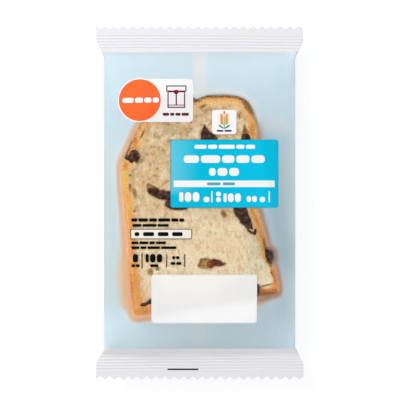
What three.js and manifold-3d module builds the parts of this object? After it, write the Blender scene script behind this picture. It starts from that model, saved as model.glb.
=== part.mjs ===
// A sealed film bag that holds two slices of raisin bread, lying on its back.
//
// The bag is one tube of film, crimped flat at both ends and joined along its back by a fin that is folded
// over. It is modelled as the closed outer form of that film: flat where the slices press it, puffed out
// beside them, and pinched to a ridged, zigzag-cut seal at each end.
//
// Millimetres. +X is the bag's right, +Y its top end and +Z up. The origin lies on the table, under the
// middle of the bag.

import * as THREE from "three";
import Module from "manifold-3d";
import { mergeVertices } from "three/addons/utils/BufferGeometryUtils.js";

const wasm = await Module();
wasm.setup();

// Driving dimensions of the bag.
const BAG_LENGTH = 250; // over the teeth of both seals
const SEAL_WIDTH = 146.5; // the tube pressed flat
const BODY_WIDTH = 135; // the tube round its contents
const SEAL_DEPTH = 18; // one seal, tooth tips included
const RIM_HEIGHT = 12; // the seals and the side creases above the table
const FIN_WIDTH = 10;
const FIN_THICKNESS = 0.4;

// Driving dimensions of what is inside.
const SLICE_THICKNESS = 15;
const FILM_ALLOWANCE = 0.9; // film and slack, above and below the slices together
const TOP_HEIGHT = FIN_THICKNESS + FILM_ALLOWANCE + 2 * SLICE_THICKNESS;

// How each slice lies: the middle of its bottom edge, and its turn in degrees, anticlockwise from above.
const UPPER_SLICE = { x: 4.1, y: -72.1, turn: 8.5 };
const LOWER_SLICE = { x: 3.2, y: -73, turn: 7.6 };

// One slice, from the middle of its bottom edge: up the right side, over the two domes and down the left.
const SLICE_OUTLINE = [
  [48, 0], [51.6, 1.6], [53, 6], [53.8, 20], [49.8, 48], [46.8, 66], [48, 88],
  [53, 108], [54, 124], [49.4, 137.2], [37.5, 143], [23, 144.6], [15.2, 143.2],
  [11.5, 146.2], [3.5, 147.9], [-6.5, 147.3], [-17, 142], [-28, 131.5], [-38, 117],
  [-44.5, 106], [-46.7, 91], [-47, 74], [-48.6, 49], [-50.3, 28], [-50.8, 6], [-49.6, 1.6], [-46, 0],
];

// End seals.
const SEAL_THICKNESS = 0.9;
const RIDGE_HEIGHT = 0.35; // either way from the seal's middle
const RIDGE_PITCH = 2.1;
const RIDGE_COUNT = 5.5;
const TOOTH_COUNT = 22.5;
const TOOTH_HEIGHT = 2.5;
const CORNER_RUN = 12; // length of the slant between the seal's width and the body's

// Film.
const EDGE_DROP = 0.8; // the slice's edge prints through as a step of this height
const EDGE_RUN = 8; // and this width
const PUFF = 1.9; // 1 is a straight slope from slice to crease, 2 an elliptic one
const GATHER_HEIGHT = 0.55; // short folds that run in from each seal
const GATHER_PITCH = 17;
const GATHER_REACH = 11;

// Fineness of the faceted surface.
const COLUMNS = 34; // across each face of the bag
const STATIONS = 46; // along the bag

// Worked out from the dimensions above.
const HALF_LENGTH = BAG_LENGTH / 2;
const BODY_END = HALF_LENGTH - SEAL_DEPTH;
const CORNER_START = BODY_END - CORNER_RUN / 2 + 1;
const RIM_HALF = SEAL_THICKNESS / 2;

/** 0 below low, 1 above high, and smooth between. */
const ramp = (value, low, high) => THREE.MathUtils.smoothstep(value, low, high);

/** The bag's half width at y: the body's, growing to the seal's over each slanted corner. */
function halfWidth(y) {
  const share = THREE.MathUtils.clamp((Math.abs(y) - CORNER_START) / CORNER_RUN, 0, 1);
  return THREE.MathUtils.lerp(BODY_WIDTH, SEAL_WIDTH, share) / 2;
}

/** The convex outline of some points, anticlockwise. Taut film spans a slice's waist and the dip in its top. */
function convexOutline(points) {
  const sorted = [...points].sort((a, b) => a.x - b.x || a.y - b.y);
  const half = (run) => {
    const kept = [];
    for (const p of run) {
      while (kept.length > 1) {
        const [a, b] = kept.slice(-2);
        if ((b.x - a.x) * (p.y - a.y) - (b.y - a.y) * (p.x - a.x) > 0) break;
        kept.pop();
      }
      kept.push(p);
    }
    return kept.slice(0, -1);
  };
  return [...half(sorted), ...half(sorted.reverse())];
}

/** Where a slice that lies as placed presses the film, as a convex outline in the bag's frame. */
function footprint(place) {
  const corners = SLICE_OUTLINE.map(([x, y]) => new THREE.Vector2(x, y));
  const smooth = new THREE.SplineCurve(corners).getPoints(4 * corners.length);
  const origin = new THREE.Vector2();
  const turn = THREE.MathUtils.degToRad(place.turn);
  const shift = new THREE.Vector2(place.x, place.y);
  return convexOutline(smooth.map((p) => p.rotateAround(origin, turn).add(shift)));
}

/** How far (x, y) is outside a convex anticlockwise outline, or 0 inside it. */
function distanceOutside(outline, x, y) {
  let nearest = Infinity;
  let inside = true;
  outline.forEach((a, i) => {
    const b = outline[(i + 1) % outline.length];
    const [dx, dy] = [b.x - a.x, b.y - a.y];
    inside &&= dx * (y - a.y) - dy * (x - a.x) >= 0;
    const along = ((x - a.x) * dx + (y - a.y) * dy) / (dx * dx + dy * dy);
    const t = THREE.MathUtils.clamp(along, 0, 1);
    nearest = Math.min(nearest, Math.hypot(x - a.x - t * dx, y - a.y - t * dy));
  });
  return inside ? 0 : nearest;
}

/**
 * How far the film has risen from the bag's rim, 0, towards the slice that it touches, 1. It comes round from
 * the side creases as a full curve, and leaves the flat seals at a slant.
 */
function drape(outline, x, y) {
  const beside = Math.max(halfWidth(y) - Math.abs(x), 0);
  const beyond = Math.max(BODY_END - Math.abs(y), 0);
  const toRim = (beside * beyond) / Math.max(beside + beyond, 1e-6);
  const toSlice = distanceOutside(outline, x, y);
  const share = toSlice / Math.max(toSlice + toRim, 1e-6);
  const toEnd = beside / Math.max(beside + beyond, 1e-6);
  return (1 - share ** PUFF) ** THREE.MathUtils.lerp(1 / PUFF, 1, toEnd);
}

/** Short folds in the film that fade away from each seal. */
function gathers(x, y, phase) {
  const fade = Math.exp((Math.abs(y) - BODY_END) / GATHER_REACH);
  const start = ramp(BODY_END - Math.abs(y), 0, GATHER_REACH / 2);
  return GATHER_HEIGHT * fade * start * Math.cos((2 * Math.PI * x) / GATHER_PITCH + phase);
}

const UPPER = footprint(UPPER_SLICE);
const LOWER = footprint(LOWER_SLICE);

/** Height of the film's front face above (x, y). */
function frontHeight(x, y) {
  const rise = drape(UPPER, x, y);
  const step = EDGE_DROP * ramp(distanceOutside(UPPER, x, y), 0, EDGE_RUN) * rise;
  const rim = RIM_HEIGHT + RIM_HALF;
  return rim + (TOP_HEIGHT - rim) * rise - step + gathers(x, y, y > 0 ? 0.6 : 2.1) * (1 - rise ** 8);
}

/** Height of the film's back face above (x, y), apart from the fin. */
function backHeight(x, y) {
  const rise = drape(LOWER, x, y);
  const rim = RIM_HEIGHT - RIM_HALF;
  const folds = gathers(x, y, y > 0 ? 2.4 : 0.3) * (1 - rise ** 8);
  return Math.max(rim + (FIN_THICKNESS - rim) * rise + folds, FIN_THICKNESS);
}

/** A solid from rings of points, each joined to the next, with both ends closed. */
function loft(rings) {
  const around = rings[0].length;
  const middle = (ring) => ring.reduce((sum, p) => sum.add(p), new THREE.Vector3()).divideScalar(around);
  const vertices = [...rings.flat(), middle(rings[0]), middle(rings.at(-1))];
  const [firstCap, lastCap] = [vertices.length - 2, vertices.length - 1];
  const triangles = [];
  for (let i = 0; i < around; i++) {
    const next = (i + 1) % around;
    for (let j = 0; j + 1 < rings.length; j++) {
      const [a, b] = [j * around + i, j * around + next];
      triangles.push(a, b + around, b, a, a + around, b + around);
    }
    const last = (rings.length - 1) * around;
    triangles.push(firstCap, i, next, lastCap, last + next, last + i);
  }
  const geometry = new THREE.BufferGeometry().setFromPoints(vertices);
  geometry.setIndex(triangles);
  return geometry;
}

/** Positions from -1 to 1, closer together towards both ends. */
function spread(count) {
  return Array.from({ length: count + 1 }, (_, i) => {
    const t = (2 * i) / count - 1;
    return 0.45 * t + 0.55 * Math.sin((t * Math.PI) / 2);
  });
}

/** The filled part of the bag: a ring round it at each station, along the back face and then the front. */
function bodyGeometry() {
  const rightward = spread(COLUMNS);
  const leftward = [...rightward].reverse();
  const rings = spread(STATIONS).map((share) => {
    const y = share * BODY_END;
    const point = (height) => (t) => new THREE.Vector3(t * halfWidth(y), y, height(t * halfWidth(y), y));
    return [...rightward.map(point(backHeight)), ...leftward.map(point(frontHeight))];
  });
  return loft(rings);
}

/** The fin along the back, folded flat against it. It reaches into the body to half the body's depth. */
function finGeometry() {
  const half = FIN_WIDTH / 2;
  const rings = spread(STATIONS).map((share) => {
    const y = share * BODY_END;
    const face = backHeight(0, y) - FIN_THICKNESS;
    const core = (backHeight(0, y) + frontHeight(0, y)) / 2;
    const section = [[-half, face], [half, face], [half, core], [-half, core]];
    return section.map(([x, z]) => new THREE.Vector3(x, y, z));
  });
  return loft(rings);
}

/** A seal's section along the bag: a flat strip with a ridged stretch, from inside the body to past the teeth. */
function sealSection() {
  const ridges = Array.from({ length: 2 * RIDGE_COUNT + 1 }, (_, i) => [
    BODY_END - RIDGE_HEIGHT + (i * RIDGE_PITCH) / 2,
    i % 2 ? RIDGE_HEIGHT : -RIDGE_HEIGHT,
  ]);
  const line = [[BODY_END - 3, 0], ...ridges, [ridges.at(-1)[0] + 1, 0], [HALF_LENGTH + 1, 0]];
  const lower = line.map(([y, z]) => new THREE.Vector2(y, RIM_HEIGHT + z - RIM_HALF));
  const upper = line.map(([y, z]) => new THREE.Vector2(y, RIM_HEIGHT + z + RIM_HALF));
  return new THREE.Shape([...lower, ...upper.reverse()]);
}

/** A seal's outline seen from above: slanted corners, straight sides and a zigzag cut. */
function sealOutline() {
  const half = SEAL_WIDTH / 2;
  const inner = BODY_END - 3;
  const toothHalf = SEAL_WIDTH / TOOTH_COUNT / 2;
  const teeth = Array.from({ length: Math.round(2 * TOOTH_COUNT) + 1 }, (_, i) => [
    half - i * toothHalf,
    HALF_LENGTH - (i % 2 ? TOOTH_HEIGHT : 0),
  ]);
  const corners = [
    [-halfWidth(inner) + 0.4, inner],
    [halfWidth(inner) - 0.4, inner],
    [half, CORNER_START + CORNER_RUN],
    ...teeth,
    [-half, CORNER_START + CORNER_RUN],
  ];
  return new THREE.Shape(corners.map(([x, y]) => new THREE.Vector2(x, y)));
}

/** A closed geometry as a solid that can be joined and cut. */
function solid(geometry) {
  const bare = geometry.clone();
  bare.deleteAttribute("normal");
  bare.deleteAttribute("uv");
  const merged = mergeVertices(bare, 1e-4);
  return new wasm.Manifold(
    new wasm.Mesh({
      numProp: 3,
      vertProperties: new Float32Array(merged.attributes.position.array),
      triVerts: new Uint32Array(merged.index.array),
    }),
  );
}

/** The geometry of a joined or cut solid. */
function geometryOf(joined) {
  const mesh = joined.getMesh();
  const geometry = new THREE.BufferGeometry();
  geometry.setAttribute("position", new THREE.BufferAttribute(mesh.vertProperties, mesh.numProp));
  geometry.setIndex(new THREE.BufferAttribute(mesh.triVerts, 1));
  geometry.computeVertexNormals();
  return geometry;
}

/** The seal at the +Y end: the ridged strip, cut to its outline. */
function sealSolid() {
  const strip = new THREE.ExtrudeGeometry(sealSection(), { depth: SEAL_WIDTH + 2, bevelEnabled: false });
  const [x, y, z] = [new THREE.Vector3(1, 0, 0), new THREE.Vector3(0, 1, 0), new THREE.Vector3(0, 0, 1)];
  strip.applyMatrix4(new THREE.Matrix4().makeBasis(y, z, x));
  strip.translate(-(SEAL_WIDTH + 2) / 2, 0, 0);
  const cutter = new THREE.ExtrudeGeometry(sealOutline(), { depth: 2 * RIM_HEIGHT, bevelEnabled: false });
  return solid(strip).intersect(solid(cutter));
}

/** The same seal at the other end. */
function mirrored(seal) {
  return seal.rotate([0, 0, 180]);
}

const seal = sealSolid();
const bagSolid = solid(bodyGeometry()).add(solid(finGeometry())).add(seal).add(mirrored(seal));

const film = new THREE.MeshStandardMaterial({ color: 0xd5e6ee, roughness: 0.45, metalness: 0 });
const bag = new THREE.Mesh(geometryOf(bagSolid), film);
bag.name = "bag";

const model = new THREE.Group();
model.add(bag);

export default model;
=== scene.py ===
"""A sealed film bag of raisin bread, lying on its back.

The bag is a tube of frosted film, crimped flat at both ends and joined along its back by a folded fin. Two
slices of raisin bread lie in it, one on the other, and plain printed marks sit on the film's front.

Places and sizes are in millimetres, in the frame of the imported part, until add_piece() turns them into
metres. +X is the bag's right, +Y its top end and +Z up.
"""

import math

import bmesh
import bpy
import numpy as np
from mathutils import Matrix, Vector, noise
from mathutils.bvhtree import BVHTree


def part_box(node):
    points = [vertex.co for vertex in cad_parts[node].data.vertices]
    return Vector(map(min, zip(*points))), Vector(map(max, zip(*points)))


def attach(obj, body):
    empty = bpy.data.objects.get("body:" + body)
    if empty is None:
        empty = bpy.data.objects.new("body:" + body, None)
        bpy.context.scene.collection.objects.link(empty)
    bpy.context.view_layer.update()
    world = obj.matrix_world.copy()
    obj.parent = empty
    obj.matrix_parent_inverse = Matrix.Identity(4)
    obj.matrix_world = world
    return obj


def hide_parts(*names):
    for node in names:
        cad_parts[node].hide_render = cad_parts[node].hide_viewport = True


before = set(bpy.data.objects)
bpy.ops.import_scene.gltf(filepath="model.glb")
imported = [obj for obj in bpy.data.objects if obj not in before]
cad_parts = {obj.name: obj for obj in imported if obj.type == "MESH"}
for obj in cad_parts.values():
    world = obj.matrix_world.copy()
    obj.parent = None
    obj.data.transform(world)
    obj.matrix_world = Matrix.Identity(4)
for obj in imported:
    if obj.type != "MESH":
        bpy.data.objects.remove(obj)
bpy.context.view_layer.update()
bag_low, bag_high = (Vector(corner) * 1000 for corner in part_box("bag"))

MM = 0.001

# ---------------------------------------------------------------------------------------------------------
# Sizes of the bag, from the frame and as its solid was built.

BAG_LENGTH = bag_high.y - bag_low.y
SEAL_WIDTH = bag_high.x - bag_low.x
TOP_HEIGHT = bag_high.z
BODY_WIDTH = 135
SEAL_DEPTH = 18
RIM_HEIGHT = 12
FIN_WIDTH = 10
FIN_THICKNESS = 0.4
CORNER_RUN = 12
HALF_LENGTH = BAG_LENGTH / 2
BODY_END = HALF_LENGTH - SEAL_DEPTH
CORNER_START = BODY_END - CORNER_RUN / 2 + 1

TOOTH_COUNT = 22.5
TOOTH_HEIGHT = 2.5
RIDGE_PITCH = 2.1
RIDGE_COUNT = 5.5
RIDGE_HEIGHT = 0.2
LAYER_GAP = 0.12  # half the gap between the two layers of film in a seal

FILM_DROP = 0.6  # of the film where it leaves the upper slice
FILM_DROP_RUN = 8
PUFF = 1.9  # how full the curve of the film is, from 1, a straight slant

SLICE_THICKNESS = 15
UPPER_SLICE = {"x": 4.1, "y": -72.1, "turn": 8.5}
LOWER_SLICE = {"x": 3.2, "y": -73, "turn": 7.6}
DOME_START = 118  # up a slice, where its domes begin
LOWER_DOME = 0.65  # height of the lower slice's domes, as a share of the upper one's

# One slice, from the middle of its bottom edge: up the right side, over the two domes and down the left.
SLICE_OUTLINE = [
    (48, 0), (51.6, 1.2), (53, 6), (52.4, 19), (50.2, 30), (49.2, 43), (46.8, 64), (48, 88),
    (53, 108), (54, 124), (49.4, 137.2), (37.5, 143), (23, 144.6), (15.2, 143.2),
    (11.5, 146.2), (3.5, 147.9), (-6.5, 147.3), (-17, 142), (-28, 131.5), (-38, 117),
    (-44.5, 106), (-46.7, 91), (-47, 74), (-48.6, 49), (-50.8, 28), (-51.8, 6), (-50.6, 0), (-46.5, -1.6),
]

# The photograph's frame: millimetres to a pixel, and the pixel over the bag's origin.
MM_PER_PIXEL = 0.7038
PHOTO_WIDTH = 400
ORIGIN_PIXEL = (199.7, 202.6)


# ---------------------------------------------------------------------------------------------------------
# Shapes in the plane


def at_pixel(px, py):
    """The place on the bag, in millimetres, that the photograph shows at a pixel."""
    return (px - ORIGIN_PIXEL[0]) * MM_PER_PIXEL, (ORIGIN_PIXEL[1] - py) * MM_PER_PIXEL


def smoothstep(value, low, high):
    t = np.clip((value - low) / (high - low), 0, 1)
    return t * t * (3 - 2 * t)


def spline(points, steps):
    """A smooth curve through the points, from the first to the last."""
    p = np.array([points[0], *points, points[-1]], dtype=float)
    t = (np.arange(steps) / steps)[:, None]
    runs = [
        0.5 * (2 * b + (c - a) * t + (2 * a - 5 * b + 4 * c - d) * t**2 + (3 * b - a - 3 * c + d) * t**3)
        for a, b, c, d in zip(p, p[1:], p[2:], p[3:])
    ]
    return np.concatenate([*runs, p[-1:]])


def placed(points, place):
    """Points of a slice, moved to where that slice lies."""
    turn = math.radians(place["turn"])
    x, y = np.asarray(points, dtype=float).T
    return np.stack(
        [
            place["x"] + x * math.cos(turn) - y * math.sin(turn),
            place["y"] + x * math.sin(turn) + y * math.cos(turn),
        ],
        axis=1,
    )


def convex_outline(points):
    """The convex outline of some points, anticlockwise."""
    ordered = sorted(map(tuple, points))

    def half(run):
        kept = []
        for p in run:
            while len(kept) > 1:
                (ax, ay), (bx, by) = kept[-2:]
                if (bx - ax) * (p[1] - ay) - (by - ay) * (p[0] - ax) > 0:
                    break
                kept.pop()
            kept.append(p)
        return kept[:-1]

    return np.array(half(ordered) + half(ordered[::-1]))


def signed_distance(outline, x, y):
    """How far each (x, y) is outside a closed outline, less than 0 inside it."""
    x, y = np.asarray(x, dtype=float).ravel(), np.asarray(y, dtype=float).ravel()
    nearest = np.full(x.shape, np.inf)
    inside = np.zeros(x.shape, dtype=bool)
    for (ax, ay), (bx, by) in zip(outline, np.roll(outline, -1, axis=0)):
        dx, dy = bx - ax, by - ay
        along = np.clip(((x - ax) * dx + (y - ay) * dy) / (dx * dx + dy * dy), 0, 1)
        nearest = np.minimum(nearest, np.hypot(x - ax - along * dx, y - ay - along * dy))
        crosses = (ay > y) != (by > y)
        inside ^= crosses & (x < ax + (y - ay) * dx / (dy if dy else 1))
    return np.where(inside, -nearest, nearest)


def slice_outline(place, dome=1.0):
    """The outline of a slice where it lies, its domes lowered to a share of their height."""
    x, y = spline(SLICE_OUTLINE, 6).T
    return placed(np.stack([x, y - (1 - dome) * np.maximum(y - DOME_START, 0)], axis=1), place)


upper_outline = slice_outline(UPPER_SLICE)
lower_outline = slice_outline(LOWER_SLICE, LOWER_DOME)
upper_hull = convex_outline(upper_outline)
lower_hull = convex_outline(lower_outline)


# ---------------------------------------------------------------------------------------------------------
# The film's form


def half_width(y):
    """Half the bag's width at y: the body's, growing to the seal's over each slanted corner."""
    share = np.clip((np.abs(y) - CORNER_START) / CORNER_RUN, 0, 1)
    return (BODY_WIDTH + (SEAL_WIDTH - BODY_WIDTH) * share) / 2


def drape(hull, x, y):
    """How far the film has risen from the bag's rim, 0, towards the slice that it touches, 1.

    It comes round from the sides as a full curve, and leaves the flat seals at a slant."""
    beside = np.maximum(half_width(y) - np.abs(x), 0)
    beyond = np.maximum(BODY_END - np.abs(y), 0)
    to_rim = beside * beyond / np.maximum(beside + beyond, 1e-6)
    to_slice = np.maximum(signed_distance(hull, x, y), 0).reshape(np.shape(x))
    share = to_slice / np.maximum(to_slice + to_rim, 1e-6)
    to_end = beside / np.maximum(beside + beyond, 1e-6)
    return (1 - share**PUFF) ** (1 / PUFF + (1 - 1 / PUFF) * to_end)


def ripples(x, y, seed, size, reach=1.0):
    """Smooth random waves, from -1 to 1, that are size across and longer by reach along Y."""
    return np.array(
        [noise.noise((px / size, py / size / reach, seed)) for px, py in zip(np.ravel(x), np.ravel(y))]
    ).reshape(np.shape(x))


def seal_folds(x, y, seed):
    """Short folds in the film that run in from each seal and fade."""
    inwards = np.maximum(BODY_END - np.abs(y), 0)
    rise = smoothstep(inwards, 0, 5)
    near = ripples(x + 0.25 * y, 0 * y + np.sign(y) * 40, seed, 9) * np.exp(-inwards / 7)
    far = ripples(x, 0 * y + np.sign(y) * 70, seed + 3, 19) * np.exp(-inwards / 14)
    return rise * (0.9 * near + 0.8 * far)


def ridges(x, y):
    """The crimped ridges of the seals. They waver a little, and run askew towards one end of each seal."""
    half = SEAL_WIDTH / 2
    askew = np.where(y > 0, 0.7 * smoothstep(x, 10, half), -0.9 * smoothstep(-x, 20, half))
    waver = 0.12 * np.sin(x / 17 + np.sign(y)) + 0.05 * np.sin(x / 6.1)
    from_body = np.abs(y) - BODY_END - 0.15 + askew + waver
    share = from_body / (RIDGE_PITCH * RIDGE_COUNT)
    inside = smoothstep(share, 0, 0.04) * (1 - smoothstep(share, 0.96, 1))
    return RIDGE_HEIGHT * inside * np.sin(2 * math.pi * from_body / RIDGE_PITCH)


def front_height(x, y):
    """Height of the film's front over (x, y)."""
    x, y = np.asarray(x, dtype=float), np.asarray(y, dtype=float)
    rise = drape(upper_hull, x, y)
    outside = np.maximum(signed_distance(upper_hull, x, y), 0).reshape(x.shape)
    step = FILM_DROP * smoothstep(outside, 0, FILM_DROP_RUN) * rise
    loose = smoothstep(outside, 0, 12)
    waves = 0.5 * ripples(x, y, 5, 24, 1.6) + 0.16 * ripples(x, y, 9, 7, 1.3)
    sag = (seal_folds(x, y, 1) + waves * smoothstep(half_width(y) - np.abs(x), 0, 8)) * loose
    in_seal = smoothstep(np.abs(y), BODY_END - 1, BODY_END + 1)
    body = np.maximum(RIM_HEIGHT + (TOP_HEIGHT - RIM_HEIGHT) * rise - step + sag, RIM_HEIGHT + LAYER_GAP)
    return body * (1 - in_seal) + (RIM_HEIGHT + LAYER_GAP + ridges(x, y)) * in_seal


def back_height(x, y):
    """Height of the film's back over (x, y), apart from the fin."""
    x, y = np.asarray(x, dtype=float), np.asarray(y, dtype=float)
    rise = drape(lower_hull, x, y)
    loose = smoothstep(np.maximum(signed_distance(lower_hull, x, y), 0).reshape(x.shape), 0, 12)
    sag = (seal_folds(x, y, 11) + 0.4 * ripples(x, y, 15, 21, 1.4)) * loose
    sag *= smoothstep(half_width(y) - np.abs(x), 0, 8)
    in_seal = smoothstep(np.abs(y), BODY_END - 1, BODY_END + 1)
    body = RIM_HEIGHT + (FIN_THICKNESS - RIM_HEIGHT) * rise + sag
    body = np.clip(body, FIN_THICKNESS, RIM_HEIGHT - LAYER_GAP)
    return body * (1 - in_seal) + (RIM_HEIGHT - LAYER_GAP + ridges(x, y)) * in_seal


# ---------------------------------------------------------------------------------------------------------
# Making pieces


def add_piece(bm, name, materials, smooth=True):
    """Turns a bmesh in millimetres into a piece in metres that rides on the part's one body."""
    bmesh.ops.scale(bm, vec=(MM, MM, MM), verts=bm.verts)
    mesh = bpy.data.meshes.new(name)
    for face in bm.faces:
        face.smooth = smooth
    bm.to_mesh(mesh)
    bm.free()
    for material in materials:
        mesh.materials.append(material)
    piece = bpy.data.objects.new(name, mesh)
    bpy.context.collection.objects.link(piece)
    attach(piece, "root")
    return piece


def places(bm):
    """The bmesh's vertices as three arrays, x, y and z."""
    return np.array([v.co for v in bm.verts]).reshape(-1, 3).T


def move(bm, x, y, z):
    """Puts the bmesh's vertices at the arrays' places."""
    for vert, place in zip(bm.verts, np.stack([x, y, z], axis=1)):
        vert.co = place


def paint(bm, **paints):
    """Stores numbers for the vertices, as attributes that materials can read."""
    for name, values in paints.items():
        layer = bm.verts.layers.float.new(name)
        for vert, value in zip(bm.verts, values):
            vert[layer] = value


def join(parts):
    """Several bmeshes as one."""
    whole = bmesh.new()
    for part in parts:
        spare = bpy.data.meshes.new("part")
        part.to_mesh(spare)
        part.free()
        whole.from_mesh(spare)
        bpy.data.meshes.remove(spare)
    return whole


# ---------------------------------------------------------------------------------------------------------
# Film

FILM_COLUMNS = 135  # six to a tooth
INK_BOTTOM = -102.7
INK_TOP = 105
INK_MARGIN = 1.9  # from the bag's sides to the blue fields
PALE_PATCH = (276, 127, 28, 24, 0)  # where the blue looks paler, as an oval spot
BODY_ROWS = 200
SEAL_ROWS = 46


def film_rows():
    """Where the rows of the film's mesh lie along the bag. A few more follow the lower edge of the blue."""
    body = np.linspace(-BODY_END, BODY_END, BODY_ROWS + 1)
    seal = np.linspace(BODY_END, HALF_LENGTH, SEAL_ROWS + 1)[1:]
    ink_edge = INK_BOTTOM + np.array([-0.6, -0.3, 0, 0.3, 0.6])
    return np.unique(np.concatenate([-seal, body, ink_edge, seal]))


def inked(x, y):
    """Where the back is printed: two blue fields, one on each side of the fin, clear of the seals."""
    beside_fin = smoothstep(np.abs(x), FIN_WIDTH / 2 - 0.4, FIN_WIDTH / 2 + 0.4)
    corner = 3 * smoothstep(y, INK_TOP - 8, INK_TOP)
    before_rim = smoothstep(BODY_WIDTH / 2 - np.abs(x), INK_MARGIN + corner - 0.6, INK_MARGIN + corner + 0.6)
    ends = smoothstep(y, INK_BOTTOM - 0.3, INK_BOTTOM + 0.3) * smoothstep(y, INK_TOP + 1.5, INK_TOP - 1.5)
    return beside_fin * before_rim * ends


def fin_glow(x, y):
    """How far the pale fin shows through the front, which is most near the top."""
    return np.exp(-((x / 5.2) ** 4)) * (0.25 + 0.75 * smoothstep(y, 40, 80))


def taut_edge(x, y):
    """Where the film lies tight over the upper slice's edge, along its top."""
    return smoothstep(y, 45, 62) * smoothstep(x, -22, -8)


def crust_glow(x, y, beyond):
    """How much painted glow in the crust's colour the frosted film beside it shows, which reaches furthest
    low down.
    """
    left_reach = 2 + 3.5 * smoothstep(y, 16, -20) + 5.5 * smoothstep(y, -20, -55)
    left_reach += 2.5 * smoothstep(y, 16, 35) - 6 * smoothstep(y, -70, -78)
    low_corner = smoothstep(x - 0.15 * y, 62, 54) * smoothstep(y, -48, -60)
    right_reach = 3.8 + 2 * smoothstep(y, 25, 45) + 4 * low_corner
    reach = np.where(x < 0, left_reach, right_reach)
    return smoothstep(beyond, -2.2, 0) * (1 - smoothstep(beyond, 0.3 + 0.2 * (reach - 5), reach))


def film_layer(height, flip):
    """One layer of the film, front or back, out to the cut edges."""
    rows = film_rows()
    bm = bmesh.new()
    bmesh.ops.create_grid(bm, x_segments=FILM_COLUMNS, y_segments=len(rows) - 1, size=1)
    u, v, _ = places(bm)
    y = np.interp(v, np.linspace(-1, 1, len(rows)), rows)
    tooth = np.abs(((u + 1) / 2 * TOOTH_COUNT + 0.5) % 1 - 0.5) * 2
    margin = np.clip((np.abs(y) - (HALF_LENGTH - 5)) / 5, 0, 1)
    y -= np.sign(y) * TOOTH_HEIGHT * tooth * margin
    x = u * half_width(y)
    z = height(x, y)
    rim = (np.abs(u) > 1 - 1e-6) | (np.abs(v) > 1 - 1e-6)
    z[rim] = RIM_HEIGHT + ridges(x, y)[rim]
    move(bm, x, y, z)
    beyond = signed_distance(upper_outline, x, y)
    for name in EDGE_RAISINS:
        beyond = np.minimum(beyond, beyond_pixels(RAISINS[name], x, y))
    taut = taut_edge(x, y)
    glow = crust_glow(x, y, beyond) * (1 - taut)
    # shade is painted shade on the film to the right of the bread: less haze and a bluer tint there.
    shade = smoothstep(x, 25, 42) * smoothstep(beyond, 24, 8)
    shade *= smoothstep(y, -62, -35) * smoothstep(y, 62, 40)
    pale_patch = smoothstep(ellipse_distance(x, y, PALE_PATCH), 1.2, 0.6)
    # low is painted light: more haze, so a lighter film, low on the left.
    low = smoothstep(x, 30, -48) * smoothstep(y, -70, -90)
    # On the right the painted glow is darker and browner: painted shade on the side away from the light, and
    # the browner crust there.
    browner = smoothstep(x, 0, 30)
    # The veil is the frosted film's own haze over a gap; the share along the right rim is painted light.
    veil = 0.5 * smoothstep(beyond, -1.5 + 1.7 * taut, 4 - 2.6 * taut) + 0.12 * smoothstep(x, 57, 66)
    at_top = smoothstep(y, INK_TOP - 1, BODY_END)
    at_bottom = smoothstep(-y, -INK_BOTTOM - 0.3, -INK_BOTTOM + 0.3)
    paint(
        bm,
        veil=np.maximum(veil * (1 - 0.2 * shade + 0.3 * low), glow * (0.55 - 0.25 * browner)),
        frost=smoothstep(beyond, -2.4 + 2.7 * taut, 0.6 + 0.9 * taut),
        crust_glow=glow,
        browner=browner,
        cool=smoothstep(beyond, 1, 7) * (1 - 0.2 * smoothstep(y, 40, 100)) * (1 - 0.6 * pale_patch),
        shaded=shade,
        sealed=at_top + at_bottom,
        inked=inked(x, y),
        fin_glow=fin_glow(x, y),
    )
    for edge in bm.edges:
        edge.smooth = not edge.is_boundary
    if flip:
        bmesh.ops.reverse_faces(bm, faces=bm.faces)
    for face in bm.faces:
        face.material_index = 1 if flip else 0
    return bm


def build_film(front_material, back_material):
    """The tube of film: front and back layers, joined round the rim. Returns the front, to lay print on."""
    front = film_layer(front_height, False)
    front_tree = BVHTree.FromBMesh(front)
    bm = join([front, film_layer(back_height, True)])
    bmesh.ops.remove_doubles(bm, verts=bm.verts, dist=0.02)
    film = add_piece(bm, "film", [front_material, back_material])
    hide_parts("bag")
    return front_tree


def build_fin(material):
    """The tube's back seam: two edges of film sealed face to face and folded flat."""
    bm = bmesh.new()
    bmesh.ops.create_grid(bm, x_segments=20, y_segments=250, size=1)
    u, v, _ = places(bm)
    x, y = u * FIN_WIDTH / 2 + 0.3 * ripples(0 * v, v * HALF_LENGTH, 81, 35), v * (HALF_LENGTH - TOOTH_HEIGHT)
    crimp = 0.04 * np.sin(2 * math.pi * y / 1.5) * smoothstep(1 - np.abs(u), 0, 0.2)
    move(bm, x, y, back_height(x, y) - 0.06 + crimp * (u > -0.7))
    bmesh.ops.solidify(bm, geom=bm.faces, thickness=0.2)
    x, y, z = places(bm)
    move(bm, x, y, np.maximum(z, 0))
    return add_piece(bm, "fin", [material])


CREASE_WIDTH = 0.45  # in pixels
CREASE_LIFT = 0.04
# Small creases in the film: the pixel at each one's middle, its length in pixels and its tilt.
# Each is drawn as a white sliver: partly the whitening of the creased film, partly a painted glint.
CREASES = [
    (276.5, 107.5, 4, 70), (273, 111, 3.5, 35), (279, 113, 3, -30), (286, 88, 4, 80), (291, 97, 3, 60),
    (268, 55.5, 5, 5), (284, 103, 2.5, 20), (262, 74, 2.5, -40), (294, 118, 3, 75), (197, 351.5, 5, 15),
    (272, 351, 5, -10), (288, 322, 3, 60), (281, 331, 3.5, -35), (292, 338, 3, 20), (119, 330, 3, 40),
    (287, 214, 4, 10), (270, 218, 3, 5), (112, 74, 2.5, 50), (108, 341, 3, -20), (236, 66, 2.5, 30),
]


# Painted glints: white slivers laid on the film along its small creases.
def build_creases(film_front, material):
    bm = join([oval(px, py, length, CREASE_WIDTH, tilt, 3) for px, py, length, tilt in CREASES])
    drape_on_film(bm, film_front, CREASE_LIFT)
    return add_piece(bm, "film_creases", [material])


# ---------------------------------------------------------------------------------------------------------
# Bread

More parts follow.
